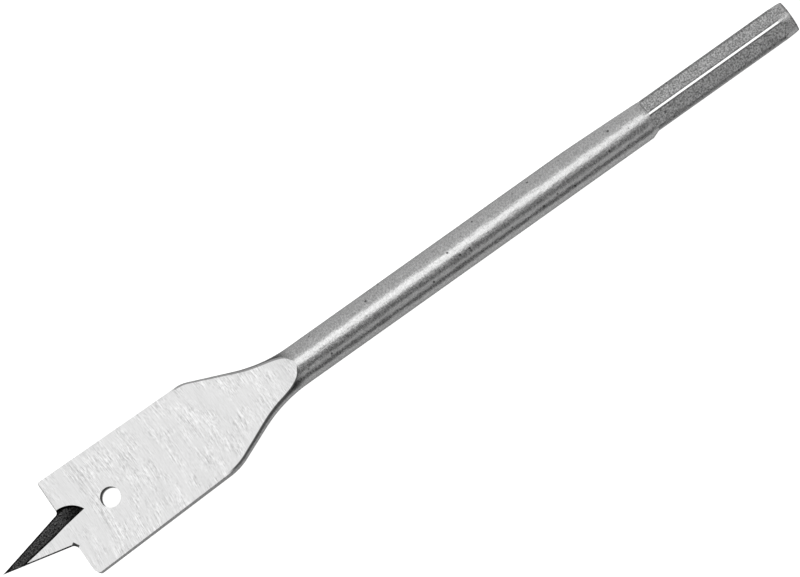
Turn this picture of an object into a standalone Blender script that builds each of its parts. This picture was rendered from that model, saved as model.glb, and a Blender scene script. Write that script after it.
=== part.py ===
# Flat wood bit with a hex shank: one forged and ground piece of steel, lying on its shank and blade.
# The bit is modelled level, point at the origin and shank along +X, then rolled and lifted to its rest.
import bpy
import bmesh
import math
from mathutils import Matrix, Vector

MM = 0.001

# Overall and shank
LENGTH = 164.0 * MM              # tip of the point to the end of the hex
SHANK_DIAMETER = 7.1 * MM
HEX_ACROSS_FLATS = 5.8 * MM
HEX_ACROSS_CORNERS = 6.5 * MM    # the corners are turned, so they stay a little round
HEX_TURN = math.radians(5.0)     # the hex isn't quite in line with the blade
HEX_LENGTH = 29.3 * MM           # full hex, measured from the end
HEX_RAMP = 0.6 * MM              # how far the flats take to run out at the round shank
HEX_SIDE_RAMP = 1.5 * MM         # the same for the -Y flat
HEX_LONG_RAMP = 17.0 * MM        # the same for the +Y flat, which runs out slowly
END_CONE_LENGTH = 2.5 * MM
END_CONE_DEPTH = 0.42 * MM

# Blade
POINT_LENGTH = 13.4 * MM         # tip to the two cutting lips
LIP_REACH_LEFT = 9.4 * MM        # from the axis to the blade's +Y side at the lips
LIP_REACH_RIGHT = 9.65 * MM      # the other side: 19.05 mm across both lips
SHOULDER_REACH_LEFT = 9.0 * MM   # from the axis to where the blade's sides turn in
SHOULDER_REACH_RIGHT = 8.7 * MM
SHOULDER_FROM_LIPS = 30.1 * MM
SHOULDER_ANGLE = math.radians(22.5)
SHOULDER_RADIUS_LEFT = 6.0 * MM  # rounding of the shoulder corner on the +Y side
SHOULDER_RADIUS_RIGHT = 12.0 * MM
BLADE_SIDE_DEPTH = 1.0 * MM      # how far the forged round of the blade's sides would stand out
NECK_RADIUS = 26.0 * MM          # fillet from the shoulder into the shank, seen from above
LIP_THICKNESS = 2.4 * MM         # blade thickness at the lips
FACE_TAPER = math.radians(0.8)   # each ground face rises towards the shank
TONGUE_END_FROM_LIPS = 48.1 * MM # where the ground face runs out on top of the shank
TONGUE_RADIUS = 9.0 * MM         # of the runout, seen from the side

# Point, lips and hole
POINT_HALF_ANGLE = math.radians(13.3)
GULLET_RADIUS_LEFT = 0.7 * MM    # between the point and the +Y lip
GULLET_RADIUS_RIGHT = 1.4 * MM
LIP_CLEARANCE = math.radians(11.0)
WORN_CORNER_RADIUS = 1.2 * MM
RIDGE_ANGLE = math.radians(8.4)  # of the straight line where a hollow ground bevel meets its face
RIDGE_END_OFFSET = 1.05 * MM     # from the axis, at the shank end of that line
BEVEL_PAST_LIPS = 4.5 * MM       # how far the bevel's hollow reaches behind the lips
BEVEL_WHEEL_RADIUS = 3.6 * MM
BEVEL_END_RADIUS = 4.5 * MM
TIP_LAND = 0.08 * MM             # thickness left at the very tip
HOLE_DIAMETER = 3.6 * MM
HOLE_FROM_LIPS = 9.3 * MM

# Mesh fineness and cutter margins
HALF_ROUND_STEPS = 28            # corners on half of the shank's round, set so that it rests on a facet
ARC_STEPS = 14
HOLE_STEPS = 48
WHEEL_STEPS = 120
MERGE_DISTANCE = 0.001 * MM
MARGIN = 2.0 * MM                # how far a cutter reaches past what it cuts

shank_radius = SHANK_DIAMETER / 2
hex_flat_height = HEX_ACROSS_FLATS / 2
hex_start = LENGTH - HEX_LENGTH
round_end = hex_start - HEX_SIDE_RAMP
shoulder_x = POINT_LENGTH + SHOULDER_FROM_LIPS
tongue_end_x = POINT_LENGTH + TONGUE_END_FROM_LIPS
blade_reach = max(LIP_REACH_LEFT, LIP_REACH_RIGHT) + MARGIN
lip_lean = LIP_THICKNESS / 2 * math.tan(LIP_CLEARANCE)
lip_middle_x = POINT_LENGTH + lip_lean


def face_height(x):
    """Height of the ground face above the middle of the blade."""
    return LIP_THICKNESS / 2 + (x - POINT_LENGTH) * math.tan(FACE_TAPER)


def arc_points(centre, radius, start, end, steps=ARC_STEPS):
    """Points on an arc from one angle to the other, both ends included."""
    angles = [start + (end - start) * i / steps for i in range(steps + 1)]
    return [Vector((centre[0] + radius * math.cos(a), centre[1] + radius * math.sin(a))) for a in angles]


def rounded_corner(before, corner, after, radius):
    """The arc that rounds a corner between two straight lines."""
    back = (before - corner).normalized()
    ahead = (after - corner).normalized()
    half_angle = back.angle(ahead) / 2
    centre = corner + (back + ahead).normalized() * (radius / math.sin(half_angle))
    first = corner + back * (radius / math.tan(half_angle)) - centre
    last = corner + ahead * (radius / math.tan(half_angle)) - centre
    start = math.atan2(first.y, first.x)
    turn = first.angle_signed(last)
    return arc_points(centre, radius, start, start - turn)


def side_outline(lip_reach, shoulder_reach, shoulder_radius):
    """How far the bit reaches from its axis along one side: blade, shoulder, neck and shank."""
    side_slope = (shoulder_reach - lip_reach) / SHOULDER_FROM_LIPS
    start_x = -MARGIN
    start = Vector((start_x, lip_reach + side_slope * (start_x - POINT_LENGTH)))
    shoulder = Vector((shoulder_x, shoulder_reach))
    neck_run = (shoulder_reach - shank_radius) / math.tan(SHOULDER_ANGLE)
    neck = Vector((shoulder_x + neck_run, shank_radius))
    end = Vector((round_end, shank_radius))
    shoulder_arc = rounded_corner(start, shoulder, neck, shoulder_radius)
    neck_arc = rounded_corner(shoulder, neck, end, NECK_RADIUS)
    return [start] + shoulder_arc + neck_arc + [end]


def width_at(outline, x):
    """Half width read off an outline by straight lines between its points."""
    for first, second in zip(outline, outline[1:]):
        if x <= second.x:
            share = (x - first.x) / (second.x - first.x)
            return first.y + (second.y - first.y) * share
    return outline[-1].y


def section_ring(x, left, right, half_height):
    """A section with half ellipses for sides, which are flatter where the bit is wide."""
    ring = []
    for reach, shoulder_reach, side in ((left, SHOULDER_REACH_LEFT, 1.0), (right, SHOULDER_REACH_RIGHT, -1.0)):
        spread = min(1.0, (reach - half_height) / (shoulder_reach - half_height))
        depth = half_height + (BLADE_SIDE_DEPTH - half_height) * spread
        for step in range(HALF_ROUND_STEPS):
            angle = math.pi * (0.5 - (step + 0.5) / HALF_ROUND_STEPS)
            y = reach - depth * (1 - math.cos(angle))
            ring.append((x, side * y, side * half_height * math.sin(angle)))
    return ring


def new_object(name, mesh, collection):
    obj = bpy.data.objects.new(name, mesh)
    collection.objects.link(obj)
    return obj


def forged_body(name, collection):
    """The bit before its flats are cut, lofted from the wide blade through the neck to the turned end."""
    left = side_outline(LIP_REACH_LEFT, SHOULDER_REACH_LEFT, SHOULDER_RADIUS_LEFT)
    right = side_outline(LIP_REACH_RIGHT, SHOULDER_REACH_RIGHT, SHOULDER_RADIUS_RIGHT)
    stations = sorted({round(point.x, 7) for point in left + right})
    bm = bmesh.new()
    corner_radius = HEX_ACROSS_CORNERS / 2
    sections = [section_ring(x, width_at(left, x), width_at(right, x), shank_radius) for x in stations]
    for x, radius in ((hex_start, corner_radius), (LENGTH - END_CONE_LENGTH, corner_radius),
                      (LENGTH, corner_radius - END_CONE_DEPTH)):
        sections.append(section_ring(x, radius, radius, radius))
    rings = [[bm.verts.new(point) for point in ring] for ring in sections]
    count = len(rings[0])
    for near, far in zip(rings, rings[1:]):
        for i in range(count):
            j = (i + 1) % count
            bm.faces.new((near[i], near[j], far[j], far[i]))
    bm.faces.new(rings[0])
    bm.faces.new(rings[-1])
    bmesh.ops.recalc_face_normals(bm, faces=bm.faces)
    mesh = bpy.data.meshes.new(name)
    bm.to_mesh(mesh)
    bm.free()
    return new_object(name, mesh, collection)


def slab(name, outline, half_depth, collection):
    """A closed mesh from a flat outline, extruded both ways from its own XY plane."""
    curve = bpy.data.curves.new(name, "CURVE")
    curve.dimensions = "2D"
    curve.fill_mode = "BOTH"
    curve.extrude = half_depth
    spline = curve.splines.new("POLY")
    spline.points.add(len(outline) - 1)
    for point, place in zip(spline.points, outline):
        point.co = (place[0], place[1], 0.0, 1.0)
    spline.use_cyclic_u = True
    guide = new_object(name + "_outline", curve, collection)
    depsgraph = bpy.context.evaluated_depsgraph_get()
    mesh = bpy.data.meshes.new_from_object(guide.evaluated_get(depsgraph))
    bpy.data.objects.remove(guide)
    bm = bmesh.new()
    bm.from_mesh(mesh)
    bmesh.ops.remove_doubles(bm, verts=bm.verts, dist=MERGE_DISTANCE)
    bmesh.ops.recalc_face_normals(bm, faces=bm.faces)
    bm.to_mesh(mesh)
    bm.free()
    return new_object(name, mesh, collection)


def stand_up(obj, turn):
    """Turns a slab's outline into the side view, its second axis pointing out from the bit's axis."""
    obj.matrix_world = Matrix.Rotation(turn, 4, "X") @ Matrix.Rotation(math.radians(90), 4, "X")


def face_cutters(collection):
    """What is pressed and ground off above and below the blade, with a round runout on the shank."""
    rise = (shank_radius - face_height(tongue_end_x)) * math.cos(FACE_TAPER)
    sweep = math.acos(1 - rise / TONGUE_RADIUS)
    start_x = tongue_end_x - TONGUE_RADIUS * (math.sin(sweep + FACE_TAPER) - math.sin(FACE_TAPER))
    centre = (start_x - TONGUE_RADIUS * math.sin(FACE_TAPER),
              face_height(start_x) + TONGUE_RADIUS * math.cos(FACE_TAPER))
    lowest = math.radians(-90) + FACE_TAPER
    past_surface = math.radians(6)
    outline = [(-2 * MARGIN, face_height(-2 * MARGIN))]
    outline += arc_points(centre, TONGUE_RADIUS, lowest, lowest + sweep + past_surface, 2 * ARC_STEPS)
    outline += [(outline[-1][0], shank_radius + MARGIN), (-2 * MARGIN, shank_radius + MARGIN)]
    cutters = []
    for name, turn in (("front_face", 0.0), ("back_face", math.pi)):
        cutter = slab(name, outline, blade_reach, collection)
        stand_up(cutter, turn)
        cutters.append(cutter)
    return cutters


def hex_cutters(collection):
    """Six flats, each with a ramp where it leaves the round shank. The second is on the -Y side."""
    cutters = []
    for i, ramp in enumerate((HEX_RAMP, HEX_SIDE_RAMP, HEX_RAMP, HEX_RAMP, HEX_LONG_RAMP, HEX_RAMP)):
        slope = (shank_radius - hex_flat_height) / ramp
        ramp_start = hex_start - ramp - MARGIN
        ramp_top = hex_flat_height + slope * (hex_start - ramp_start)
        outline = [(ramp_start, ramp_top), (hex_start, hex_flat_height),
                   (LENGTH + MARGIN, hex_flat_height), (LENGTH + MARGIN, ramp_top)]
        cutter = slab(f"hex_flat_{i + 1}", outline, SHANK_DIAMETER, collection)
        stand_up(cutter, HEX_TURN + math.radians(30 + 60 * i))
        cutters.append(cutter)
    return cutters


def gullet_outline(radius):
    """The round between an edge of the point and its lip, at the middle of the thickness."""
    root = Vector((lip_middle_x, lip_middle_x * math.tan(POINT_HALF_ANGLE)))
    return rounded_corner(Vector((0.0, 0.0)), root, Vector((lip_middle_x, blade_reach)), radius)


def point_cutter(name, turn, gullet_radius, collection):
    """What is ground off beside the point, up to one lip, with a round gullet between them."""
    tip = Vector((0.0, 0.0))
    gullet = gullet_outline(gullet_radius)
    before_tip = tip - gullet[0].normalized() * MARGIN
    outline = [before_tip] + gullet + [Vector((lip_middle_x, blade_reach)), Vector((-2 * MARGIN, blade_reach))]
    cutter = slab(name, outline, shank_radius, collection)
    # The ground edges lean back from their cutting edge, which is on the far face at this side of the bit.
    for vertex in cutter.data.vertices:
        vertex.co.x += vertex.co.z * math.tan(LIP_CLEARANCE)
    cutter.matrix_world = Matrix.Rotation(turn, 4, "X")
    return cutter


def bevel_cutter(name, turn, gullet_radius, collection):
    """The hollow ground bevel of one edge of the point: a round hollow inside a footprint on the face."""
    end_x = POINT_LENGTH + BEVEL_PAST_LIPS
    along = Vector((math.cos(RIDGE_ANGLE), math.sin(RIDGE_ANGLE)))
    across = Vector((-along.y, along.x))
    ridge_end = Vector((end_x, RIDGE_END_OFFSET))
    tip_distance = -ridge_end.dot(across)
    # The hollow's circle passes through the ridge on the face and through the top of the tip.
    ridge_top = Vector((0.0, LIP_THICKNESS / 2))
    tip_top = Vector((tip_distance, TIP_LAND / 2))
    chord = tip_top - ridge_top
    outward = Vector((-chord.y, chord.x)).normalized()
    centre_lift = math.sqrt(BEVEL_WHEEL_RADIUS ** 2 - chord.length ** 2 / 4)
    centre = (ridge_top + tip_top) / 2 + outward * centre_lift
    start = ridge_end - along * (end_x + 2 * MARGIN)
    wheel = bpy.data.meshes.new(name + "_wheel")
    bm = bmesh.new()
    wheel_length = end_x + 4 * MARGIN
    bmesh.ops.create_cone(bm, cap_ends=True, segments=WHEEL_STEPS, radius1=BEVEL_WHEEL_RADIUS,
                          radius2=BEVEL_WHEEL_RADIUS, depth=wheel_length)
    middle = start + along * (wheel_length / 2) + across * centre.x
    place = Matrix.Translation((middle.x, middle.y, centre.y)) @ Matrix.Rotation(RIDGE_ANGLE, 4, "Z")
    bmesh.ops.transform(bm, matrix=place @ Matrix.Rotation(math.radians(90), 4, "Y"), verts=bm.verts)
    bm.to_mesh(wheel)
    bm.free()
    wheel_object = new_object(name + "_wheel", wheel, collection)
    wheel_object.matrix_world = Matrix.Rotation(turn, 4, "X")

    # The footprint ends in an arc that leaves the ridge's end and comes round to the lip and its gullet.
    arc_x = lip_middle_x + lip_lean
    drop = math.sqrt(BEVEL_END_RADIUS ** 2 - (end_x - arc_x) ** 2)
    arc_centre = Vector((arc_x, RIDGE_END_OFFSET - drop))
    first_angle = math.atan2(drop, end_x - arc_x)
    arc = arc_points(arc_centre, BEVEL_END_RADIUS, first_angle, math.radians(90))
    gullet_end = gullet_outline(gullet_radius)[-1]
    outline = [start] + arc + [gullet_end, Vector((POINT_LENGTH, gullet_end.y)),
                               Vector((POINT_LENGTH, blade_reach)), Vector((start.x, blade_reach))]
    cutter = slab(name, outline, shank_radius, collection)
    cutter.matrix_world = Matrix.Rotation(turn, 4, "X")
    hollow = cutter.modifiers.new("hollow", "BOOLEAN")
    hollow.operation = "INTERSECT"
    hollow.object = wheel_object
    return cutter


def hole_cutter(collection):
    bm = bmesh.new()
    bmesh.ops.create_cone(bm, cap_ends=True, segments=HOLE_STEPS, radius1=HOLE_DIAMETER / 2,
                          radius2=HOLE_DIAMETER / 2, depth=SHANK_DIAMETER)
    mesh = bpy.data.meshes.new("hole")
    bm.to_mesh(mesh)
    bm.free()
    cutter = new_object("hole", mesh, collection)
    cutter.location.x = POINT_LENGTH + HOLE_FROM_LIPS
    return cutter


def worn_corner_cutter(collection):
    """Rounds the outer corner of the -Y lip, which is worn."""
    centre = (POINT_LENGTH + WORN_CORNER_RADIUS, WORN_CORNER_RADIUS - LIP_REACH_RIGHT)
    arc = arc_points(centre, WORN_CORNER_RADIUS, math.radians(180), math.radians(270))
    outline = [(POINT_LENGTH - MARGIN, arc[0].y)] + arc + [(arc[-1].x, -blade_reach),
                                                          (POINT_LENGTH - MARGIN, -blade_reach)]
    return slab("worn_corner", outline, shank_radius, collection)


def steel():
    material = bpy.data.materials.new("ground_steel")
    material.use_nodes = True
    shader = material.node_tree.nodes["Principled BSDF"]
    shader.inputs["Base Color"].default_value = (0.62, 0.62, 0.61, 1.0)
    shader.inputs["Metallic"].default_value = 1.0
    shader.inputs["Roughness"].default_value = 0.35
    return material


def apply_cuts(body):
    """Keeps the cut shape as the body's own mesh, smooth on its round stretches and sharp at its edges."""
    depsgraph = bpy.context.evaluated_depsgraph_get()
    body.data = bpy.data.meshes.new_from_object(body.evaluated_get(depsgraph))
    body.modifiers.clear()
    body.data.shade_smooth()
    body.data.set_sharp_from_angle(angle=math.radians(20))


def resting_roll(body):
    """How far the bit rolls about its shank before an edge of the blade meets the bench."""
    rolls = []
    for vertex in body.data.vertices:
        y = vertex.co.y
        z = vertex.co.z
        reach = math.hypot(y, z)
        if y > 0 and z < 0 and reach > shank_radius + MARGIN:
            rolls.append(math.asin(shank_radius / reach) - math.atan2(-z, y))
    return min(rolls)


def main():
    for obj in list(bpy.data.objects):
        bpy.data.objects.remove(obj)
    parts = bpy.data.collections.new("flat_wood_bit")
    guides = bpy.data.collections.new("cutters")
    for collection in (parts, guides):
        bpy.context.scene.collection.children.link(collection)

    body = forged_body("spade_bit", parts)
    body.data.materials.append(steel())
    cutters = face_cutters(guides) + hex_cutters(guides)
    for name, turn, radius in (("left", 0.0, GULLET_RADIUS_LEFT), ("right", math.pi, GULLET_RADIUS_RIGHT)):
        cutters.append(point_cutter(f"point_side_{name}", turn, radius, guides))
        cutters.append(bevel_cutter(f"bevel_{name}", turn, radius, guides))
    cutters.append(hole_cutter(guides))
    cutters.append(worn_corner_cutter(guides))
    for cutter in cutters:
        cut = body.modifiers.new(cutter.name, "BOOLEAN")
        cut.operation = "DIFFERENCE"
        cut.object = cutter
    for guide in guides.objects:
        guide.hide_render = True
        guide.display_type = "WIRE"

    bpy.context.view_layer.update()
    apply_cuts(body)
    roll = resting_roll(body)
    rest = bpy.data.objects.new("rest", None)
    parts.objects.link(rest)
    for obj in [body] + list(guides.objects):
        place = obj.matrix_world.copy()
        obj.parent = rest
        obj.matrix_local = place
    rest.location = (-LENGTH / 2, 0.0, shank_radius)
    rest.rotation_euler.x = -roll


main()
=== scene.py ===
import bmesh
import bpy
import math
from mathutils import Matrix, Vector


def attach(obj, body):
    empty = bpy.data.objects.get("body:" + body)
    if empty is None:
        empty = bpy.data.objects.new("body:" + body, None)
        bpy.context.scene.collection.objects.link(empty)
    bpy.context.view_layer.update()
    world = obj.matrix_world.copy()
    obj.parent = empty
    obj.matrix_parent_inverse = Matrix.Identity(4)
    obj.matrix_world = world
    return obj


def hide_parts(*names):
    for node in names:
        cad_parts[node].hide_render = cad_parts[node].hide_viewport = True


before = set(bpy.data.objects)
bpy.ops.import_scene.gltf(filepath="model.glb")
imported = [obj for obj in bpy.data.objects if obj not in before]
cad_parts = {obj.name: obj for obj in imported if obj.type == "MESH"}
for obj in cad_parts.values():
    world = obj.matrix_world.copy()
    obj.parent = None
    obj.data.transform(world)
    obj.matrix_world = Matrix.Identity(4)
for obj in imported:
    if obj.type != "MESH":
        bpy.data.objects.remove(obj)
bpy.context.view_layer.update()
mm = 0.001

# Everything below is modelled level, with the bit's axis along X at height zero and its point at x = 0.
# The whole bit is rolled onto its blade edge and lifted to its rest at the end.
bit = {
    "length": 164.0 * mm,
    "shankRadius": 3.55 * mm,
    "hexFlatHeight": 2.9 * mm,
    "hexCornerRadius": 3.25 * mm,
    "hexLength": 29.3 * mm,
    "hexSideRamp": 1.5 * mm,
    "pointLength": 13.4 * mm,
    "lipThickness": 2.4 * mm,
    "faceTaper": math.radians(0.8),
    "lipClearance": math.radians(11),
    "bladeReach": 12.0 * mm,       # half width that clears the whole blade
    "restRoll": math.radians(12.8774),
}
hexStart = bit["length"] - bit["hexLength"]
facing = 0.99           # how squarely a normal points along a direction when faces are picked
tiny = 0.002 * mm       # how near a vertex lies to a section when it is picked


# Small helpers for working in edit mode by place
def deselectAll():
    if bpy.context.object and bpy.context.object.mode != "OBJECT":
        bpy.ops.object.mode_set(mode="OBJECT")
    bpy.ops.object.select_all(action="DESELECT")


def makeActive(piece):
    deselectAll()
    piece.select_set(True)
    bpy.context.view_layer.objects.active = piece


def applyPlace(piece):
    makeActive(piece)
    bpy.ops.object.transform_apply(location=True, rotation=True, scale=True)


def openEdit(piece, mode="VERT"):
    makeActive(piece)
    bpy.ops.object.mode_set(mode="EDIT")
    bpy.ops.mesh.select_mode(type=mode)
    bpy.ops.mesh.select_all(action="DESELECT")


def closeEdit():
    bpy.ops.object.mode_set(mode="OBJECT")


def pickVerts(piece, rule):
    bpy.ops.mesh.select_mode(type="VERT")
    bpy.ops.mesh.select_all(action="DESELECT")
    bm = bmesh.from_edit_mesh(piece.data)
    for vert in bm.verts:
        vert.select = rule(vert.co)
    bm.select_flush_mode()
    bmesh.update_edit_mesh(piece.data)


def pickEdges(piece, rule):
    bpy.ops.mesh.select_mode(type="EDGE")
    bpy.ops.mesh.select_all(action="DESELECT")
    bm = bmesh.from_edit_mesh(piece.data)
    for edge in bm.edges:
        edge.select = rule(edge.verts[0].co, edge.verts[1].co)
    bm.select_flush_mode()
    bmesh.update_edit_mesh(piece.data)


def pickFaces(piece, rule):
    bpy.ops.mesh.select_mode(type="FACE")
    bpy.ops.mesh.select_all(action="DESELECT")
    bm = bmesh.from_edit_mesh(piece.data)
    for face in bm.faces:
        face.select = rule(face.calc_center_median(), face.normal)
    bm.select_flush_mode()
    bmesh.update_edit_mesh(piece.data)


def addCube(name, low, high):
    deselectAll()
    middle = [(a + b) / 2 for a, b in zip(low, high)]
    bpy.ops.mesh.primitive_cube_add(size=1, location=middle, scale=[b - a for a, b in zip(low, high)])
    piece = bpy.context.object
    piece.name = name
    applyPlace(piece)
    return piece


def addCylinder(name, centre, radius, depth, corners, rotation=(0, 0, 0)):
    deselectAll()
    bpy.ops.mesh.primitive_cylinder_add(vertices=corners, radius=radius, depth=depth, location=centre,
                                        rotation=rotation)
    piece = bpy.context.object
    piece.name = name
    applyPlace(piece)
    return piece


def combine(piece, other, operation="DIFFERENCE", tolerant=False):
    makeActive(piece)
    cut = piece.modifiers.new("cut", "BOOLEAN")
    cut.operation = operation
    cut.object = other
    cut.use_hole_tolerant = tolerant    # the wide face cuts need it, the small ones come out open with it
    bpy.ops.object.modifier_apply(modifier=cut.name)
    bpy.data.objects.remove(other)


def turnOver(piece):
    makeActive(piece)
    piece.rotation_euler.x = math.pi
    applyPlace(piece)


# The forging: a round bar, spread into the blade and necked in behind the shoulders
forging = {
    "barCorners": 144,
    "barRadius": 3.544 * mm,       # with the hair this keeps the mesh inside the size of the part
    "hair": 0.01 * mm,
    "lipReach": {1: 9.4 * mm, -1: 9.65 * mm},          # +Y side and -Y side of the axis
    "shoulderReach": {1: 9.0 * mm, -1: 8.7 * mm},
    "shoulderRadius": {1: 6.0 * mm, -1: 12.0 * mm},
    "shoulderFromLips": 30.1 * mm,
    "shoulderAngle": math.radians(22.5),
    "neckRadius": 26.0 * mm,
    "sideDepth": 1.0 * mm,
    "arcSteps": 16,
    "beyondLips": 18 * mm,         # how far the outline runs on past the lips, towards the point
    "endConeRun": 2.5 * mm,
    "endRadius": 2.83 * mm,
}


def roundedCorner(before, corner, after, radius):
    back = (before - corner).normalized()
    ahead = (after - corner).normalized()
    half = back.angle(ahead) / 2
    centre = corner + (back + ahead).normalized() * (radius / math.sin(half))
    first = corner + back * (radius / math.tan(half)) - centre
    last = corner + ahead * (radius / math.tan(half)) - centre
    start = math.atan2(first.y, first.x)
    turn = -first.angle_signed(last)
    angles = [start + turn * i / forging["arcSteps"] for i in range(forging["arcSteps"] + 1)]
    return [Vector((centre.x + radius * math.cos(a), centre.y + radius * math.sin(a))) for a in angles]


def sideOutline(side):
    shoulderX = bit["pointLength"] + forging["shoulderFromLips"]
    lip = Vector((bit["pointLength"], forging["lipReach"][side]))
    shoulder = Vector((shoulderX, forging["shoulderReach"][side]))
    start = lip + (lip - shoulder) * (forging["beyondLips"] / (shoulder - lip).length)
    neckRun = (shoulder.y - bit["shankRadius"]) / math.tan(forging["shoulderAngle"])
    neck = Vector((shoulderX + neckRun, bit["shankRadius"]))
    end = Vector((bit["length"], bit["shankRadius"]))
    return ([start] + roundedCorner(start, shoulder, neck, forging["shoulderRadius"][side])
            + roundedCorner(shoulder, neck, end, forging["neckRadius"]) + [end])


def reachAt(outline, x):
    for first, second in zip(outline, outline[1:]):
        if x <= second.x:
            return first.y + (second.y - first.y) * (x - first.x) / (second.x - first.x)
    return outline[-1].y


# A section's sides are half ellipses, this deep: flatter where the bit is wide
def sideDepth(reach, radius, side):
    spread = min(1.0, (reach - radius) / (forging["shoulderReach"][side] - radius))
    return radius + (forging["sideDepth"] - radius) * spread


def makeForging():
    radius = forging["barRadius"]
    bar = addCylinder("flatWoodBit", (bit["length"] / 2, 0, 0), radius, bit["length"],
                      forging["barCorners"], (0, math.radians(90), 0))
    bar.rotation_euler.x = math.pi / forging["barCorners"]    # no corner straight above or beside the axis
    applyPlace(bar)
    outlines = {side: sideOutline(side) for side in (1, -1)}
    stations = sorted({round(point.x, 6) for side in (1, -1) for point in outlines[side][1:-1]})
    turned = {hexStart - bit["hexSideRamp"]: radius, hexStart: bit["hexCornerRadius"],
              bit["length"] - forging["endConeRun"]: bit["hexCornerRadius"], bit["length"]: forging["endRadius"]}
    openEdit(bar)
    for x in stations + list(turned)[:-1]:
        bpy.ops.mesh.select_all(action="SELECT")
        bpy.ops.mesh.bisect(plane_co=(x, 0, 0), plane_no=(1, 0, 0))
    for x in [0.0] + stations:
        for side in (1, -1):
            reach = max(radius, reachAt(outlines[side], x) - forging["hair"])
            depth = sideDepth(reach, radius, side)
            pickVerts(bar, lambda co: abs(co.x - x) < tiny and side * co.y > tiny)
            bpy.ops.transform.resize(value=(1, depth / radius, 1), center_override=(x, 0, 0))
            bpy.ops.transform.translate(value=(0, side * (reach - depth), 0))
    for x, size in turned.items():
        pickVerts(bar, lambda co: abs(co.x - x) < tiny)
        bpy.ops.transform.resize(value=(1, size / radius, size / radius), center_override=(x, 0, 0))
    closeEdit()
    print("forging done,", len(stations), "stations")
    return bar


# Ground faces: flat along the blade, then a round runout that leaves the tongue on the shank
tongue = {"radius": 9.0 * mm, "endFromLips": 48.1 * mm, "corners": 360, "run": 70 * mm}
tongueEndX = bit["pointLength"] + tongue["endFromLips"]


def faceHeight(x):
    return bit["lipThickness"] / 2 + (x - bit["pointLength"]) * math.tan(bit["faceTaper"])


# Where the flat part of the face ends and its runout starts
def runoutStart():
    taper = bit["faceTaper"]
    rise = (bit["shankRadius"] - faceHeight(tongueEndX)) * math.cos(taper)
    sweep = math.acos(1 - rise / tongue["radius"])
    return tongueEndX - tongue["radius"] * (math.sin(sweep + taper) - math.sin(taper))


def makeFaceCutter():
    taper = bit["faceTaper"]
    startX = runoutStart()
    centre = Vector((startX - tongue["radius"] * math.sin(taper), 0,
                     faceHeight(startX) + tongue["radius"] * math.cos(taper)))
    along = Vector((math.cos(taper), 0, math.sin(taper)))
    cutter = addCylinder("faceCutter", (0, 0, 0), tongue["radius"], 2 * bit["bladeReach"],
                         tongue["corners"], (math.radians(90), 0, 0))
    cutter.rotation_euler.y = -taper
    cutter.location = centre
    applyPlace(cutter)
    openEdit(cutter)
    bpy.ops.mesh.select_all(action="SELECT")
    bpy.ops.mesh.bisect(plane_co=centre, plane_no=along, use_fill=True, clear_inner=True)
    pickFaces(cutter, lambda middle, normal: normal.dot(along) < -facing)
    bpy.ops.mesh.extrude_region_move(TRANSFORM_OT_translate={"value": -along * tongue["run"]})
    closeEdit()
    return cutter


# Hex end: six flats cut one by one, each with a ramp up to the round shank
hexFlats = {
    "turn": math.radians(5),
    "ramps": {0: 17.0 * mm, 60: 0.6 * mm, 120: 0.6 * mm, 180: 1.5 * mm, 240: 0.6 * mm, 300: 0.6 * mm},
    "past": 2 * mm,
}


def makeFlatCutter(degrees):
    ramp = hexFlats["ramps"][degrees]
    height = bit["hexFlatHeight"]
    drop = bit["shankRadius"] - height
    wide = bit["shankRadius"] * 2
    block = addCube("hexFlat", (hexStart, height, -wide), (bit["length"] + hexFlats["past"], wide, wide))
    openEdit(block)
    pickFaces(block, lambda middle, normal: normal.x < -facing)
    bpy.ops.mesh.extrude_region_move(TRANSFORM_OT_translate={"value": (-2 * ramp, 0, 0)})
    pickVerts(block, lambda co: co.x < hexStart - ramp and co.y < height + 0.1 * mm)
    bpy.ops.transform.translate(value=(0, 2 * drop, 0))
    closeEdit()
    makeActive(block)
    block.rotation_euler.x = math.radians(degrees) + hexFlats["turn"]
    applyPlace(block)
    return block


# Centre point, gullets and lips
point = {
    "halfAngle": math.radians(13.3),
    "gulletRadius": {1: 0.7 * mm, -1: 1.4 * mm},
    "gulletSteps": 16,
    "margin": 3 * mm,
}
lipLean = bit["lipThickness"] / 2 * math.tan(bit["lipClearance"])
lipMiddleX = bit["pointLength"] + lipLean
rootY = lipMiddleX * math.tan(point["halfAngle"])
gulletHalfAngle = (math.radians(90) + point["halfAngle"]) / 2


def makePointCutter(side):
    high = bit["shankRadius"] + mm
    block = addCube("pointCutter", (-point["margin"], 0, -high), (lipMiddleX, bit["bladeReach"], high))
    openEdit(block)
    pickVerts(block, lambda co: co.y < mm and co.x < 0)
    bpy.ops.transform.translate(value=(0, -point["margin"] * math.tan(point["halfAngle"]), 0))
    pickVerts(block, lambda co: co.y < mm and co.x > mm)
    bpy.ops.transform.translate(value=(0, rootY, 0))
    pickEdges(block, lambda a, b: abs(a.z - b.z) > mm and abs(a.y - rootY) < mm / 2 and a.x > mm)
    offset = point["gulletRadius"][side] / math.tan(gulletHalfAngle)
    bpy.ops.mesh.bevel(offset=offset, segments=point["gulletSteps"], affect="EDGES")
    lean = high * math.tan(bit["lipClearance"])
    for sign in (1, -1):
        pickVerts(block, lambda co: sign * co.z > 0)
        bpy.ops.transform.translate(value=(sign * lean, 0, 0))
    closeEdit()
    if side < 0:
        turnOver(block)
    return block


# Hollow grinding of the point: a wheel's round inside a footprint on the face
hollow = {
    "ridgeAngle": math.radians(8.4),
    "ridgeEndOffset": 1.05 * mm,
    "pastLips": 4.5 * mm,
    "wheelRadius": 3.6 * mm,
    "wheelCorners": 400,
    "endRadius": 4.5 * mm,
    "endCorners": 240,
    "tipLand": 0.08 * mm,
}
pointEndX = bit["pointLength"] + hollow["pastLips"]
arcX = lipMiddleX + lipLean
arcY = hollow["ridgeEndOffset"] - math.sqrt(hollow["endRadius"] ** 2 - (pointEndX - arcX) ** 2)


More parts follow.
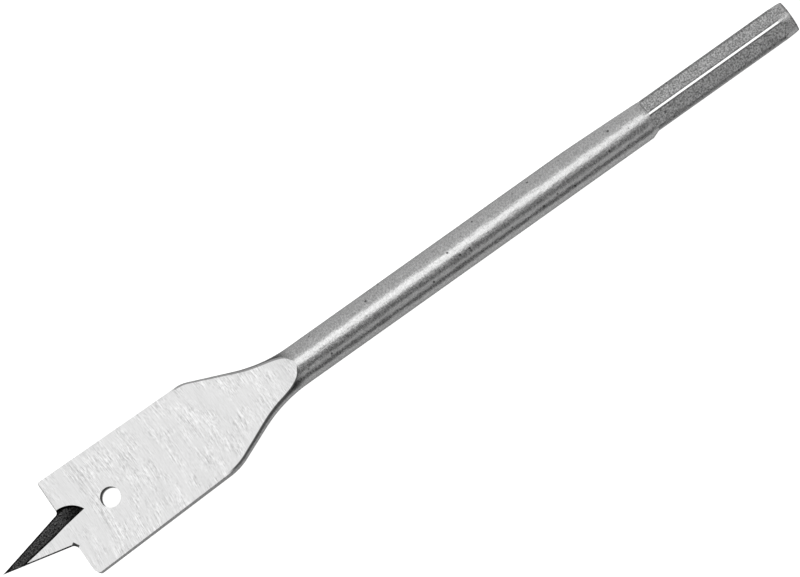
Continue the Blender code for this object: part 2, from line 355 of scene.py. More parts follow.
def makeHollowCutter(side):
    angle = hollow["ridgeAngle"]
    along = Vector((math.cos(angle), math.sin(angle)))
    across = Vector((-along.y, along.x))
    ridgeEnd = Vector((pointEndX, hollow["ridgeEndOffset"]))
    tipDistance = -ridgeEnd.dot(across)
    ridgeTop = Vector((0, bit["lipThickness"] / 2))
    tipTop = Vector((tipDistance, hollow["tipLand"] / 2))
    chord = tipTop - ridgeTop
    outward = Vector((-chord.y, chord.x)).normalized()
    centre = (ridgeTop + tipTop) / 2 + outward * math.sqrt(hollow["wheelRadius"] ** 2 - chord.length ** 2 / 4)
    middle = ridgeEnd - along * (pointEndX / 2) + across * centre.x
    wheel = addCylinder("wheel", (middle.x, middle.y, centre.y), hollow["wheelRadius"], 3 * pointEndX,
                        hollow["wheelCorners"], (0, math.radians(90), angle))

    arcCentre = Vector((arcX, arcY, 0))
    arcTop = arcCentre.y + hollow["endRadius"]
    footprint = addCylinder("footprint", arcCentre, hollow["endRadius"], 4 * bit["shankRadius"],
                            hollow["endCorners"])
    gulletEnd = rootY + point["gulletRadius"][side] / math.tan(gulletHalfAngle)
    openEdit(footprint)
    bpy.ops.mesh.select_all(action="SELECT")
    bpy.ops.mesh.bisect(plane_co=arcCentre, plane_no=(1, 0, 0), use_fill=True, clear_inner=True)
    pickFaces(footprint, lambda middle, normal: normal.x < -facing)
    bpy.ops.mesh.extrude_region_move(TRANSFORM_OT_translate={"value": (-arcX - point["margin"], 0, 0)})
    pickFaces(footprint, lambda middle, normal: normal.y > facing and middle.x < arcX - mm)
    bpy.ops.mesh.extrude_region_move(TRANSFORM_OT_translate={"value": (0, gulletEnd - arcTop, 0)})
    pickVerts(footprint, lambda co: co.y > arcTop + 0.01 * mm and co.x > 0)
    bpy.ops.transform.translate(value=(-lipLean, 0, 0))
    closeEdit()
    combine(footprint, wheel, "INTERSECT")
    if side < 0:
        turnOver(footprint)
    return footprint


# Pull hole and the worn outer corner of one lip
hole = {"radius": 1.8 * mm, "fromLips": 9.3 * mm, "corners": 128}
wornCorner = {"radius": 1.2 * mm, "corners": 128}


def makeHoleCutter():
    return addCylinder("holeCutter", (bit["pointLength"] + hole["fromLips"], 0, 0), hole["radius"],
                       4 * bit["shankRadius"], hole["corners"])


def makeWornCornerCutter():
    radius = wornCorner["radius"]
    reach = forging["lipReach"][-1]
    high = bit["shankRadius"] + mm
    block = addCube("wornCorner", (bit["pointLength"] - 2 * mm, -bit["bladeReach"], -high),
                    (bit["pointLength"] + radius, radius - reach, high))
    disc = addCylinder("wornRound", (bit["pointLength"] + radius, radius - reach, 0), radius, 4 * high,
                       wornCorner["corners"])
    combine(block, disc)
    return block


def makeBit():
    body = makeForging()
    for degrees in hexFlats["ramps"]:
        combine(body, makeFlatCutter(degrees))
    print("hex done")
    combine(body, makeFaceCutter(), tolerant=True)
    lower = makeFaceCutter()
    turnOver(lower)
    combine(body, lower, tolerant=True)
    print("faces done")
    for side in (1, -1):
        combine(body, makePointCutter(side))
        combine(body, makeHollowCutter(side))
    print("point done")
    combine(body, makeHoleCutter())
    combine(body, makeWornCornerCutter())
    return body


body = makeBit()
print("faces", len(body.data.polygons), "verts", len(body.data.vertices))


# Clean up the mesh, then give each kind of surface its own slot while the bit is still level
merging = {"doubles": 0.0002 * mm, "sliver": 0.05 * mm}    # the cuts leave a sliver at the root of one lip


def tidyMesh(piece):
    openEdit(piece)
    bpy.ops.mesh.select_all(action="SELECT")
    bpy.ops.mesh.remove_doubles(threshold=merging["doubles"])
    bpy.ops.mesh.select_all(action="DESELECT")
    bpy.ops.mesh.select_non_manifold()
    bpy.ops.mesh.remove_doubles(threshold=merging["sliver"])
    bpy.ops.mesh.select_all(action="SELECT")
    bpy.ops.mesh.normals_make_consistent(inside=False)
    closeEdit()


# Places and slacks that tell the surfaces apart
picking = {
    "faceSlack": 0.02 * mm,
    "shankSlack": 0.01 * mm,
    "tongueSlack": 0.1 * mm,
    "endSlack": 0.2 * mm,
    "faceLean": 0.02,              # a face's or a lip's normal has less than this across the bit
    "lipFacing": 0.9,              # and a lip's more than this towards the point
    "wallLean": 0.5,               # a wall's normal has less than this upwards, a face's more
    "along": 0.001,                # and a flat's or a turned corner's less than this along the bit
    "flatDegrees": 0.4,
    "pointHalfWidth": 5.2 * mm,
    "wornFromY": -8.4 * mm,
    "wornToX": 14.1 * mm,
    "holeSlack": 1.05,
    "highlitHalfWidth": 1 * mm,
}


def flatSide(normal):
    around = math.degrees(math.atan2(normal.z, normal.y) - hexFlats["turn"]) % 60
    return abs(normal.x) < picking["along"] and min(around, 60 - around) < picking["flatDegrees"]


def isFace(middle, normal):
    high = abs(middle.z)
    inHeight = faceHeight(middle.x) - picking["faceSlack"] < high < bit["shankRadius"] - picking["shankSlack"]
    onBlade = middle.x < tongueEndX + picking["tongueSlack"]
    return inHeight and onBlade and abs(normal.y) < picking["faceLean"] and abs(normal.z) > picking["wallLean"]


def isPointGround(middle, normal):
    inPlan = middle.x < pointEndX + picking["endSlack"] and abs(middle.y) < picking["pointHalfWidth"]
    onWornCorner = middle.y < picking["wornFromY"] and middle.x < picking["wornToX"]
    isWall = abs(normal.z) < picking["wallLean"]
    isLip = normal.x < -picking["lipFacing"] and abs(normal.y) < picking["faceLean"]
    return (inPlan or onWornCorner and isWall) and not isFace(middle, normal) and not isLip


def isHoleWall(middle, normal):
    fromHole = math.hypot(middle.x - bit["pointLength"] - hole["fromLips"], middle.y)
    return fromHole < hole["radius"] * picking["holeSlack"] and abs(normal.z) < picking["wallLean"]


def isFlat(middle, normal):
    return middle.x > hexStart - picking["endSlack"] and flatSide(normal)


def isOnHex(middle, normal):
    onTurned = hexStart < middle.x < bit["length"] - forging["endConeRun"] and abs(normal.x) < picking["along"]
    return onTurned or isFlat(middle, normal)


# The two hex corners facing up and down, which get a painted highlight
def isHighlitCorner(middle, normal):
    return isOnHex(middle, normal) and not flatSide(normal) and abs(middle.y) < picking["highlitHalfWidth"]


surfaces = [("forged", None), ("groundFace", isFace), ("groundPoint", isPointGround), ("holeWall", isHoleWall),
            ("hexFlat", isOnHex), ("hexCorner", isHighlitCorner)]


def giveSlots(piece, materials):
    for name, rule in surfaces:
        piece.data.materials.append(materials[name])
    openEdit(piece, "FACE")
    for index, (name, rule) in enumerate(surfaces):
        if rule:
            pickFaces(piece, rule)
            piece.active_material_index = index
            bpy.ops.object.material_slot_assign()
    closeEdit()
    counts = [sum(1 for face in piece.data.polygons if face.material_index == i) for i in range(len(surfaces))]
    print("surfaces", dict(zip([name for name, rule in surfaces], counts)))


# Broken edge beside the point, in the look of slot 2, the ground point
pointBreak = {"side": -1, "fromX": 2.5 * mm, "toX": 13.3 * mm, "width": 0.16 * mm, "slot": 2}


# Rim edges of the upper face on one side of the axis. The lower face is the same after half a turn.
def breakEdges(piece, rim):
    openEdit(piece, "EDGE")
    bm = bmesh.from_edit_mesh(piece.data)
    chosen = 0
    for edge in bm.edges:
        middle = (edge.verts[0].co + edge.verts[1].co) / 2
        onSide = middle.y * middle.z * rim["side"] > 0 and rim["fromX"] < middle.x < rim["toX"]
        flags = [isFace(face.calc_center_median(), face.normal) for face in edge.link_faces]
        edge.select = onSide and flags.count(True) == 1 and len(flags) == 2
        chosen += edge.select
    bm.select_flush_mode()
    bmesh.update_edit_mesh(piece.data)
    bpy.ops.mesh.bevel(offset=rim["width"], segments=1, affect="EDGES", material=rim["slot"], clamp_overlap=False)
    closeEdit()
    print("broke", chosen, "edges beside the point")


# Shader helpers
def addNode(tree, kind, inputs=None, **settings):
    node = tree.nodes.new(kind)
    for name, setting in settings.items():
        setattr(node, name, setting)
    for name, given in (inputs or {}).items():
        if isinstance(given, bpy.types.NodeSocket):
            tree.links.new(given, node.inputs[name])
        else:
            node.inputs[name].default_value = given
    return node


def calc(tree, operation, first, second=0.0, clamp=False):
    return addNode(tree, "ShaderNodeMath", {0: first, 1: second}, operation=operation, use_clamp=clamp).outputs[0]


# A soft step from one value to another while what is given goes from start to end
def step(tree, given, start, end, before=0.0, after=1.0):
    inputs = {"Value": given, "From Min": start, "From Max": end, "To Min": before, "To Max": after}
    return addNode(tree, "ShaderNodeMapRange", inputs, interpolation_type="SMOOTHSTEP").outputs[0]


def splitPlace(tree, place):
    return addNode(tree, "ShaderNodeSeparateXYZ", {0: place}).outputs


def newMaterial(name):
    material = bpy.data.materials.new(name)
    material.use_nodes = True
    return material, material.node_tree, material.node_tree.nodes["Principled BSDF"]


# Coordinates that follow the bit: X from its point, Z square to the blade, in metres.
# With a bend, lines across the bit curve like the marks of a big wheel.
def bitCoordinates(tree, bend=0.0):
    back = Matrix.Rotation(bit["restRoll"], 3, "X")
    shift = -(back @ Vector((-bit["length"] / 2, 0, bit["shankRadius"])))
    place = addNode(tree, "ShaderNodeTexCoord").outputs["Object"]
    inputs = {"Vector": place, "Location": shift, "Rotation": (bit["restRoll"], 0, 0)}
    level = addNode(tree, "ShaderNodeMapping", inputs).outputs[0]
    if not bend:
        return level
    along, across, up = splitPlace(tree, level)
    away = calc(tree, "MULTIPLY", calc(tree, "MULTIPLY", across, across), bend)
    bent = calc(tree, "ADD", along, away)
    return addNode(tree, "ShaderNodeCombineXYZ", {0: bent, 1: across, 2: up}).outputs[0]


def noiseAt(tree, place, scale, detail=3.0, rough=0.6, warp=0.0):
    stretched = addNode(tree, "ShaderNodeMapping", {"Vector": place, "Scale": scale}).outputs[0]
    inputs = {"Vector": stretched, "Scale": 1.0, "Detail": detail, "Roughness": rough, "Distortion": warp}
    centred = addNode(tree, "ShaderNodeTexNoise", inputs).outputs["Fac"]
    return calc(tree, "SUBTRACT", centred, 0.5)


# One look per kind of surface. Scales are per metre, heights in metres.
looks = {
    "forged": {"colour": 0.76, "rough": 0.27, "lineScale": (5200, 260, 260), "lineTone": 0.30, "lineHeight": 7e-6,
               "grainScale": (3600, 2600, 2600), "grainTone": 1.5, "grainHeight": 1.5e-5, "roughSpread": 0.30},
    "groundFace": {"colour": 0.76, "rough": 0.34, "lineScale": (5200, 260, 260), "lineTone": 0.95,
                   "lineHeight": 3e-6, "grainScale": (4800, 1300, 1300), "grainTone": 0.9, "grainHeight": 1.6e-6,
                   "roughSpread": 0.15, "bend": 6.25},
    # groundPoint: its near-black colour is a painted dark reflection on the hollow-ground point
    "groundPoint": {"colour": 0.078, "rough": 0.42, "lineScale": (900, 3600, 3600), "lineTone": 0.7,
                    "lineHeight": 5e-6, "grainScale": (3800, 3800, 3800), "grainTone": 9.0, "grainHeight": 2.6e-5,
                    "roughSpread": 0.3},
    # holeWall: its near-black colour is painted shade inside the hole
    "holeWall": {"colour": 0.06, "rough": 0.45, "lineScale": (900, 900, 5000), "lineTone": 0.4, "lineHeight": 5e-6,
                 "grainScale": (3000, 3000, 3000), "grainTone": 0.5, "grainHeight": 6e-6, "roughSpread": 0.3},
    "hexFlat": {"colour": 0.66, "rough": 0.36, "lineScale": (4400, 240, 240), "lineTone": 0.5, "lineHeight": 6e-6,
                "grainScale": (3600, 3000, 3000), "grainTone": 3.6, "grainHeight": 9e-6, "roughSpread": 0.3},
    # hexCorner: its near-white colour is a painted highlight on the two corners facing up and down
    "hexCorner": {"colour": 0.97, "rough": 0.15, "lineScale": (1500, 900, 900), "lineTone": 0.05,
                  "lineHeight": 5e-7, "grainScale": (2000, 2000, 2000), "grainTone": 0.05, "grainHeight": 5e-7,
                  "roughSpread": 0.1},
}


def steelBase(name):
    look = looks[name]
    material, tree, shader = newMaterial(name)
    place = bitCoordinates(tree, look.get("bend", 0.0))
    lines = noiseAt(tree, place, look["lineScale"], detail=4.0, rough=0.65, warp=0.3)
    grain = noiseAt(tree, place, look["grainScale"])
    tone = calc(tree, "ADD", calc(tree, "MULTIPLY", lines, look["lineTone"]),
                calc(tree, "MULTIPLY", grain, look["grainTone"]))
    height = calc(tree, "ADD", calc(tree, "MULTIPLY", lines, look["lineHeight"]),
                  calc(tree, "MULTIPLY", grain, look["grainHeight"]))
    tone = calc(tree, "ADD", tone, 1.0)
    rough = calc(tree, "ADD", calc(tree, "MULTIPLY", grain, look["roughSpread"]), look["rough"])
    parts = {"tree": tree, "shader": shader, "place": place, "lines": lines, "grain": grain, "tone": tone,
             "height": height, "rough": rough, "colour": look["colour"]}
    return material, parts


def finishSteel(parts):
    tree, shader = parts["tree"], parts["shader"]
    value = calc(tree, "MULTIPLY", parts["tone"], parts["colour"], clamp=True)
    colour = addNode(tree, "ShaderNodeCombineColor", {0: value, 1: value, 2: value}).outputs[0]
    tree.links.new(colour, shader.inputs["Base Color"])
    tree.links.new(parts["rough"], shader.inputs["Roughness"])
    bump = addNode(tree, "ShaderNodeBump", {"Height": parts["height"], "Distance": 1.0, "Strength": 1.0})
    tree.links.new(bump.outputs[0], shader.inputs["Normal"])
    shader.inputs["Metallic"].default_value = 1.0


# Forged and turned surfaces: uneven, with small dark pits, a dark rim at the end, and painted shade on the sides
# just below the ground faces at the neck
# painted shade beside the ground faces' edges on the neck: how far below the face it reaches, where along the bit,
# how dark
scale = {"low": 1.0 * mm, "near": 0.22 * mm, "startX": 38 * mm, "fullX": 46 * mm, "fadeX": 59 * mm, "goneX": 62 * mm,
         "dark": 0.82}
waves = {"scale": (450, 1000, 1000), "height": 6.0e-5}
pits = {"perMetre": 620, "size": 0.20, "core": 0.4, "pickFrom": 0.72, "pickTo": 0.80, "dark": 0.75}
endRim = {"far": 0.40 * mm, "near": 0.12 * mm, "dark": 0.45}


def darkPits(parts):
    tree = parts["tree"]
    inputs = {"Vector": parts["place"], "Scale": pits["perMetre"], "Randomness": 1.0}
    cells = addNode(tree, "ShaderNodeTexVoronoi", inputs)
    pick = addNode(tree, "ShaderNodeSeparateColor", {0: cells.outputs["Color"]}).outputs[0]
    chosen = step(tree, pick, pits["pickFrom"], pits["pickTo"])
    spot = step(tree, cells.outputs["Distance"], pits["size"], pits["size"] * pits["core"])
    return calc(tree, "MULTIPLY", calc(tree, "MULTIPLY", chosen, spot), pits["dark"])


def forgedSteel():
    material, parts = steelBase("forged")
    tree = parts["tree"]
    along, across, up = splitPlace(tree, parts["place"])
    high = calc(tree, "ABSOLUTE", up)
    fromLips = calc(tree, "SUBTRACT", along, bit["pointLength"])
    faceAt = calc(tree, "ADD", calc(tree, "MULTIPLY", fromLips, math.tan(bit["faceTaper"])), bit["lipThickness"] / 2)
    # painted shade on the forged side just below the ground face's edge, only along the neck
    below = calc(tree, "SUBTRACT", faceAt, high)
    beside = step(tree, below, scale["low"], scale["near"])
    onNeck = calc(tree, "MULTIPLY", step(tree, along, scale["startX"], scale["fullX"]),
                  step(tree, along, scale["goneX"], scale["fadeX"]))
    dark = calc(tree, "MULTIPLY", calc(tree, "MULTIPLY", beside, onNeck), scale["dark"])
    keep = calc(tree, "SUBTRACT", 1.0, dark)
    wave = noiseAt(tree, parts["place"], waves["scale"], detail=2.0, rough=0.5)
    parts["height"] = calc(tree, "ADD", parts["height"], calc(tree, "MULTIPLY", wave, waves["height"]))
    # darker over the last few tenths of a millimetre at the shank's end
    nearEnd = step(tree, along, bit["length"] - endRim["far"], bit["length"] - endRim["near"])
    keep = calc(tree, "MULTIPLY", keep, calc(tree, "SUBTRACT", 1.0, calc(tree, "MULTIPLY", nearEnd, endRim["dark"])))
    pitted = calc(tree, "SUBTRACT", 1.0, darkPits(parts))
    parts["tone"] = calc(tree, "MULTIPLY", calc(tree, "MULTIPLY", parts["tone"], keep), pitted)
    finishSteel(parts)
    return material


# Ground faces: a group of stronger lines behind the lips, smoother steel before it
stripes = {"middleX": 20.6 * mm, "half": 1.8 * mm, "full": 0.9 * mm, "scale": (2600, 60, 60), "tone": 0.62,
           "height": 5e-6, "fromY": -6 * mm, "toY": 2 * mm}
patches = {"scale": (420, 260, 260), "edge": 0.12, "least": 0.35, "most": 1.45, "calmTo": 18.5 * mm, "calm": 0.7}


# Painted shade along the rims of the faces at the neck: darker on the -Y side of the upper face
neckShadeRim = {"startX": 41 * mm, "endX": 62 * mm, "reachMost": 10 * mm, "near": {1: 0.26 * mm, -1: 0.20 * mm},
           "far": {1: 0.44 * mm, -1: 0.36 * mm}, "points": 28, "blendX": 2 * mm, "dark": {1: 0.62, -1: 0.90}}


# Height of the ground face with its runout, and how far its rim is from the axis
def groundHeight(x):
    taper = bit["faceTaper"]
    startX = runoutStart()
    if x <= startX:
        return faceHeight(x)
    back = min(1.0, (x - startX) / tongue["radius"] + math.sin(taper))
    return faceHeight(startX) + tongue["radius"] * (math.cos(taper) - math.sqrt(1 - back * back))


def rimReach(outline, side, x):
    radius = bit["shankRadius"]
    reach = reachAt(outline, x)
    share = min(1.0, groundHeight(x) / radius)
    return reach - sideDepth(reach, radius, side) * (1 - math.sqrt(1 - share * share))


def neckShadeRims(tree, level):
    along, across, up = splitPlace(tree, level)
    across = calc(tree, "MULTIPLY", across, calc(tree, "SIGN", up))    # the lower face is the upper one turned over
    start, end = neckShadeRim["startX"], neckShadeRim["endX"]
    share = addNode(tree, "ShaderNodeMapRange", {"Value": along, "From Min": start, "From Max": end}).outputs[0]
    begins = step(tree, along, start, start + neckShadeRim["blendX"])
    keep = 1.0
    for side in (1, -1):
        outline = sideOutline(side)
        curve = addNode(tree, "ShaderNodeFloatCurve", {"Value": share})
        points = curve.mapping.curves[0].points
        count = neckShadeRim["points"]
        for i in range(count + 1):
            reach = rimReach(outline, side, start + (end - start) * i / count) / neckShadeRim["reachMost"]
            spot = points[0] if i == 0 else points[len(points) - 1] if i == count else points.new(i / count, reach)
            spot.location = (i / count, reach)
        curve.mapping.update()
        rim = calc(tree, "MULTIPLY", curve.outputs[0], neckShadeRim["reachMost"])
        inside = calc(tree, "SUBTRACT", rim, calc(tree, "MULTIPLY", across, float(side)))
        # painted shade in a strip just inside each rim, from the start of the neck on
        dark = calc(tree, "MULTIPLY", step(tree, inside, neckShadeRim["far"][side], neckShadeRim["near"][side]), begins)
        keep = calc(tree, "MULTIPLY", keep, calc(tree, "SUBTRACT", 1.0,
                                                 calc(tree, "MULTIPLY", dark, neckShadeRim["dark"][side])))
    return keep


# Painted shade beside the near gullet, as a short dark dash
gulletShadeDash = {"middle": (13.22 * mm, -3.30 * mm), "along": (0.4716, -0.8818), "half": 0.62 * mm, "halfWidth": 0.25 * mm,
        "soft": 0.08 * mm, "dark": 0.94}


def gulletShade(tree, level):
    along, across, up = splitPlace(tree, level)
    across = calc(tree, "MULTIPLY", across, calc(tree, "SIGN", up))
    fromX = calc(tree, "SUBTRACT", along, gulletShadeDash["middle"][0])
    fromY = calc(tree, "SUBTRACT", across, gulletShadeDash["middle"][1])
    alongX, alongY = gulletShadeDash["along"]
    run = calc(tree, "ADD", calc(tree, "MULTIPLY", fromX, alongX), calc(tree, "MULTIPLY", fromY, alongY))
    off = calc(tree, "SUBTRACT", calc(tree, "MULTIPLY", fromX, alongY), calc(tree, "MULTIPLY", fromY, alongX))
    inRun = step(tree, calc(tree, "ABSOLUTE", run), gulletShadeDash["half"] + gulletShadeDash["soft"], gulletShadeDash["half"] - gulletShadeDash["soft"])
    inWidth = step(tree, calc(tree, "ABSOLUTE", off), gulletShadeDash["halfWidth"] + gulletShadeDash["soft"],
                   gulletShadeDash["halfWidth"] - gulletShadeDash["soft"])
    shadeAmount = calc(tree, "MULTIPLY", calc(tree, "MULTIPLY", inRun, inWidth), gulletShadeDash["dark"])
    return calc(tree, "SUBTRACT", 1.0, shadeAmount)


def groundSteel():
    material, parts = steelBase("groundFace")
    tree = parts["tree"]
    along, across, up = splitPlace(tree, parts["place"])
    away = calc(tree, "ABSOLUTE", calc(tree, "SUBTRACT", along, stripes["middleX"]))
    inGroup = step(tree, away, stripes["half"], stripes["full"])
    inGroup = calc(tree, "MULTIPLY", inGroup, step(tree, across, stripes["fromY"], stripes["toY"]))
    patch = step(tree, noiseAt(tree, parts["place"], patches["scale"], detail=2.0), -patches["edge"],
                 patches["edge"], patches["least"], patches["most"])
    calm = step(tree, along, patches["calmTo"], patches["calmTo"] + mm, patches["calm"], 1.0)
    vary = calc(tree, "MULTIPLY", calc(tree, "SUBTRACT", parts["tone"], 1.0), calc(tree, "MULTIPLY", patch, calm))
    parts["tone"] = calc(tree, "ADD", vary, 1.0)
    strong = noiseAt(tree, parts["place"], stripes["scale"], detail=2.0, rough=0.5)
    strong = calc(tree, "MULTIPLY", strong, inGroup)
    parts["tone"] = calc(tree, "ADD", parts["tone"], calc(tree, "MULTIPLY", strong, stripes["tone"]))
    parts["height"] = calc(tree, "ADD", parts["height"], calc(tree, "MULTIPLY", strong, stripes["height"]))
    level = bitCoordinates(tree)
    # painted shade at the neck rims and beside the near gullet
    unshaded = calc(tree, "MULTIPLY", neckShadeRims(tree, level), gulletShade(tree, level))
    parts["tone"] = calc(tree, "MULTIPLY", parts["tone"], unshaded)
    finishSteel(parts)
    return material


# The wall of the pull hole: painted shade keeps it dark at its top, and painted light from the paper below brightens
# it lower down
paintedPaperLight = {"from": -0.35 * mm, "to": -0.85 * mm, "tone": 12.0}


def holeSteel():
    material, parts = steelBase("holeWall")
    tree = parts["tree"]
    up = splitPlace(tree, parts["place"])["Z"]
    lit = step(tree, up, paintedPaperLight["from"], paintedPaperLight["to"], 1.0, paintedPaperLight["tone"])
    parts["tone"] = calc(tree, "MULTIPLY", parts["tone"], lit)
    finishSteel(parts)
    return material


def plainFinish(name):
    material, parts = steelBase(name)
    finishSteel(parts)
    return material


# The hollow of the point is darker along its ridge, its edge and its round end
hollowRim = {"dark": 0.90, "near": 0.12 * mm, "far": 0.42 * mm, "split": 0.45}


def nearLine(tree, distance, rim):
    return step(tree, calc(tree, "ABSOLUTE", distance), rim["far"], rim["near"])


def pointSteel():
    material, parts = steelBase("groundPoint")
    tree = parts["tree"]
    along, across, up = splitPlace(tree, parts["place"])
    # the upper hollow falls towards +Y, so a slanting plane parts it from the lower one
    above = calc(tree, "ADD", up, calc(tree, "MULTIPLY", across, hollowRim["split"]))
    across = calc(tree, "MULTIPLY", across, calc(tree, "SIGN", above))
    rims = []
    for angle, throughX, throughY in ((hollow["ridgeAngle"], pointEndX, hollow["ridgeEndOffset"]),
                                      (point["halfAngle"], 0.0, 0.0)):
        first = calc(tree, "MULTIPLY", calc(tree, "SUBTRACT", across, throughY), math.cos(angle))
        second = calc(tree, "MULTIPLY", calc(tree, "SUBTRACT", along, throughX), math.sin(angle))
        rims.append(nearLine(tree, calc(tree, "SUBTRACT", first, second), hollowRim))
    fromX = calc(tree, "SUBTRACT", along, arcX)
    fromY = calc(tree, "SUBTRACT", across, arcY)
    reach = calc(tree, "SQRT", calc(tree, "ADD", calc(tree, "MULTIPLY", fromX, fromX),
                                    calc(tree, "MULTIPLY", fromY, fromY)))
    onArc = nearLine(tree, calc(tree, "SUBTRACT", reach, hollow["endRadius"]), hollowRim)
    rims.append(calc(tree, "MULTIPLY", onArc, step(tree, along, bit["pointLength"], lipMiddleX)))
    rim = calc(tree, "MAXIMUM", calc(tree, "MAXIMUM", rims[0], rims[1]), rims[2])
    keep = calc(tree, "SUBTRACT", 1.0, calc(tree, "MULTIPLY", rim, hollowRim["dark"]))
    parts["tone"] = calc(tree, "MULTIPLY", parts["tone"], keep)
    finishSteel(parts)
    return material


# Hex flats: a darker line along each corner
flatRim = {"dark": 0.42, "near": math.radians(6.0), "far": math.radians(9.5)}


def hexSteel():
    material, parts = steelBase("hexFlat")
    tree = parts["tree"]
    along, across, up = splitPlace(tree, parts["place"])
    around = calc(tree, "ARCTAN2", up, across)
    fromFlat = calc(tree, "FLOORED_MODULO", calc(tree, "SUBTRACT", around, hexFlats["turn"]), math.radians(60))
    rim = nearLine(tree, calc(tree, "SUBTRACT", fromFlat, math.radians(30)), flatRim)
    keep = calc(tree, "SUBTRACT", 1.0, calc(tree, "MULTIPLY", rim, flatRim["dark"]))
    parts["tone"] = calc(tree, "MULTIPLY", parts["tone"], keep)
    finishSteel(parts)
    return material


shading = {"sharpAngle": math.radians(20)}


# Smooth rounds, sharp edges, and a sharp line round each hex flat
def shadeBit(piece):
    makeActive(piece)
    bpy.ops.object.shade_smooth_by_angle(angle=shading["sharpAngle"])
    flatFaces = {face.index for face in piece.data.polygons if isFlat(face.center, face.normal)}
    owners = {}
    for face in piece.data.polygons:
        for key in face.edge_keys:
            owners.setdefault(key, []).append(face.index in flatFaces)
    rims = {key for key, flags in owners.items() if any(flags) and not all(flags)}
    openEdit(piece)
    bpy.ops.mesh.select_mode(type="EDGE")
    bpy.ops.mesh.select_all(action="DESELECT")
    bm = bmesh.from_edit_mesh(piece.data)
    for edge in bm.edges:
        edge.select = tuple(sorted((edge.verts[0].index, edge.verts[1].index))) in rims
    bmesh.update_edit_mesh(piece.data)
    bpy.ops.mesh.mark_sharp()
    closeEdit()


def reportMesh(piece):
    bm = bmesh.new()
    bm.from_mesh(piece.data)
    isClosed = all(edge.is_manifold for edge in bm.edges)
    print("closed", isClosed, "volume", round(bm.calc_volume() / mm ** 3, 1), "cubic mm")
    bm.free()


tidyMesh(body)
giveSlots(body, {"forged": forgedSteel(), "groundFace": groundSteel(), "groundPoint": pointSteel(),
                 "holeWall": holeSteel(), "hexFlat": hexSteel(), "hexCorner": plainFinish("hexCorner")})
breakEdges(body, pointBreak)
shadeBit(body)
reportMesh(body)
print("materials done")

body.location = (-bit["length"] / 2, 0, bit["shankRadius"])
body.rotation_euler.x = -bit["restRoll"]
applyPlace(body)
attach(body, "root")
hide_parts("spade_bit")


# Floor, light and camera
studio = {
    "floorHalf": 2.0,
    "floorColour": (0.9, 0.9, 0.9, 1),
    "floorRough": 0.9,
    "floorGlow": 0.8,
    "airColour": (0.9, 0.9, 0.9, 1),    # what the camera sees past the floor
    "distance": 700 * mm,
    "pixelsPerMm": 5.8829,
    "imageWidth": 800,
    "sensorWidth": 36,
    "tilt": math.radians(-2.5),
    "turn": math.radians(-35.389),
    "slideX": 0.6521 * mm,
    "slideY": 1.2178 * mm,
}


def makeFloor():
    half = studio["floorHalf"]
    deselectAll()
    bpy.ops.mesh.primitive_plane_add(size=2 * half, location=(0, 0, 0))
    floor = bpy.context.object
    floor.name = "paleFloor"
    material, tree, shader = newMaterial("palePaper")
    shader.inputs["Base Color"].default_value = studio["floorColour"]
    shader.inputs["Roughness"].default_value = studio["floorRough"]
    shader.inputs["Specular IOR Level"].default_value = 0.0
    shader.inputs["Emission Color"].default_value = (1, 1, 1, 1)
    shader.inputs["Emission Strength"].default_value = studio["floorGlow"]
    floor.data.materials.append(material)
    floor.visible_glossy = False


# Light round the bit by angle from straight up, + towards +Y: degrees and strength
lightBands = [(-180, 0.24), (-150, 0.26), (-118, 0.36), (-98, 0.40), (-88, 0.10), (-70, 0.03), (-62, 0.30),
              (-50, 0.42), (-42, 0.22), (-34, 0.07), (-20, 0.11), (-1, 0.35), (9, 1.09), (34, 1.18),
              (44, 0.50), (60, 0.42), (130, 0.40), (180, 0.24)]
# And by how far it comes from along the bit: a white card beyond the point, a dim one beyond the shank
cardEdge = {"start": -0.22, "full": -0.5, "strength": 1.0}
dimEdge = {"start": 0.28, "full": 0.42, "strength": 0.28}
gain = {"startX": -0.02, "fullX": 0.05, "full": 1.13}    # a little brighter towards the shank's end
lean = {"perX": 0.6, "fromX": -0.011, "most": 0.06}    # the bands lean a little along the bit


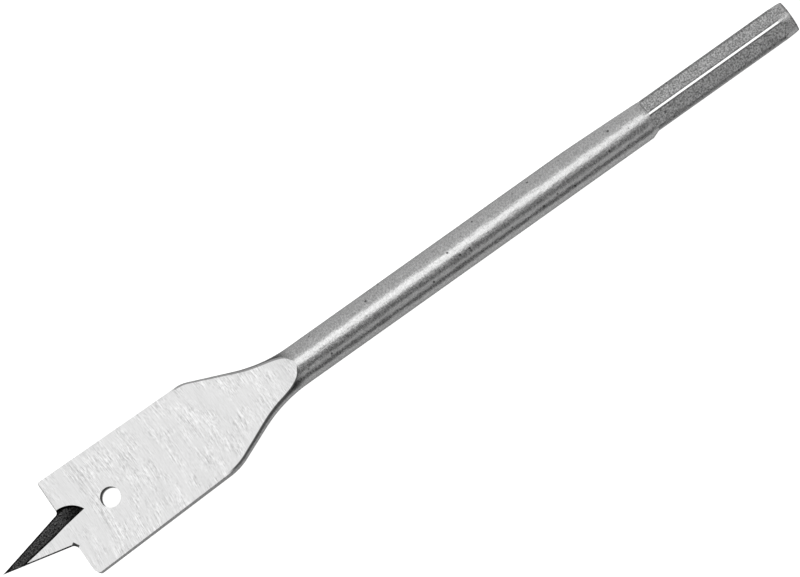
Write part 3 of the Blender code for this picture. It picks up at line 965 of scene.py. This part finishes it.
def makeWorld():
    world = bpy.data.worlds.new("studio")
    world.use_nodes = True
    tree = world.node_tree
    tree.nodes.clear()
    alongX, alongY, alongZ = splitPlace(tree, addNode(tree, "ShaderNodeTexCoord").outputs["Generated"])
    angle = calc(tree, "ARCTAN2", alongY, alongZ)
    shift = calc(tree, "MULTIPLY", calc(tree, "SUBTRACT", alongX, lean["fromX"]), lean["perX"])
    shift = calc(tree, "MAXIMUM", calc(tree, "MINIMUM", shift, lean["most"]), 0.0)
    inputs = {"Value": calc(tree, "ADD", angle, shift), "From Min": -math.pi, "From Max": math.pi}
    share = addNode(tree, "ShaderNodeMapRange", inputs).outputs[0]
    ramp = addNode(tree, "ShaderNodeValToRGB", {0: share})
    ramp.color_ramp.interpolation = "EASE"
    for i, (degrees, strength) in enumerate(lightBands):
        spot = (degrees + 180) / 360
        stop = ramp.color_ramp.elements[i] if i < 2 else ramp.color_ramp.elements.new(spot)
        stop.position = spot
        stop.color = (strength, strength, strength, 1)
    light = ramp.outputs["Color"]
    for edge in (cardEdge, dimEdge):
        share = step(tree, alongX, edge["start"], edge["full"])
        far = [edge["strength"]] * 3 + [1]
        light = addNode(tree, "ShaderNodeMix", {0: share, 6: light, 7: far}, data_type="RGBA").outputs[2]
    strength = step(tree, alongX, gain["startX"], gain["fullX"], 1.0, gain["full"])
    bands = addNode(tree, "ShaderNodeBackground", {"Color": light, "Strength": strength}).outputs[0]
    air = addNode(tree, "ShaderNodeBackground", {"Color": studio["airColour"]}).outputs[0]
    seen = addNode(tree, "ShaderNodeLightPath").outputs["Is Camera Ray"]
    mixed = addNode(tree, "ShaderNodeMixShader", {0: seen, 1: bands, 2: air}).outputs[0]
    addNode(tree, "ShaderNodeOutputWorld", {"Surface": mixed})
    bpy.context.scene.world = world


def makeCamera():
    lens = bpy.data.cameras.new("photoView")
    lens.sensor_width = studio["sensorWidth"]
    lens.lens = studio["sensorWidth"] * studio["pixelsPerMm"] * studio["distance"] / mm / studio["imageWidth"]
    lens.clip_start = 0.01
    lens.clip_end = 20
    camera = bpy.data.objects.new("photoView", lens)
    bpy.context.scene.collection.objects.link(camera)
    turn = Matrix.Rotation(studio["tilt"], 4, "X") @ Matrix.Rotation(studio["turn"], 4, "Z")
    slide = Matrix.Translation((studio["slideX"], studio["slideY"], studio["distance"]))
    camera.matrix_world = Matrix.Translation((0, 0, bit["shankRadius"])) @ turn @ slide
    bpy.context.scene.camera = camera


makeFloor()
makeWorld()
makeCamera()
bpy.context.scene.view_settings.view_transform = "Standard"
print("floor, light and camera done")
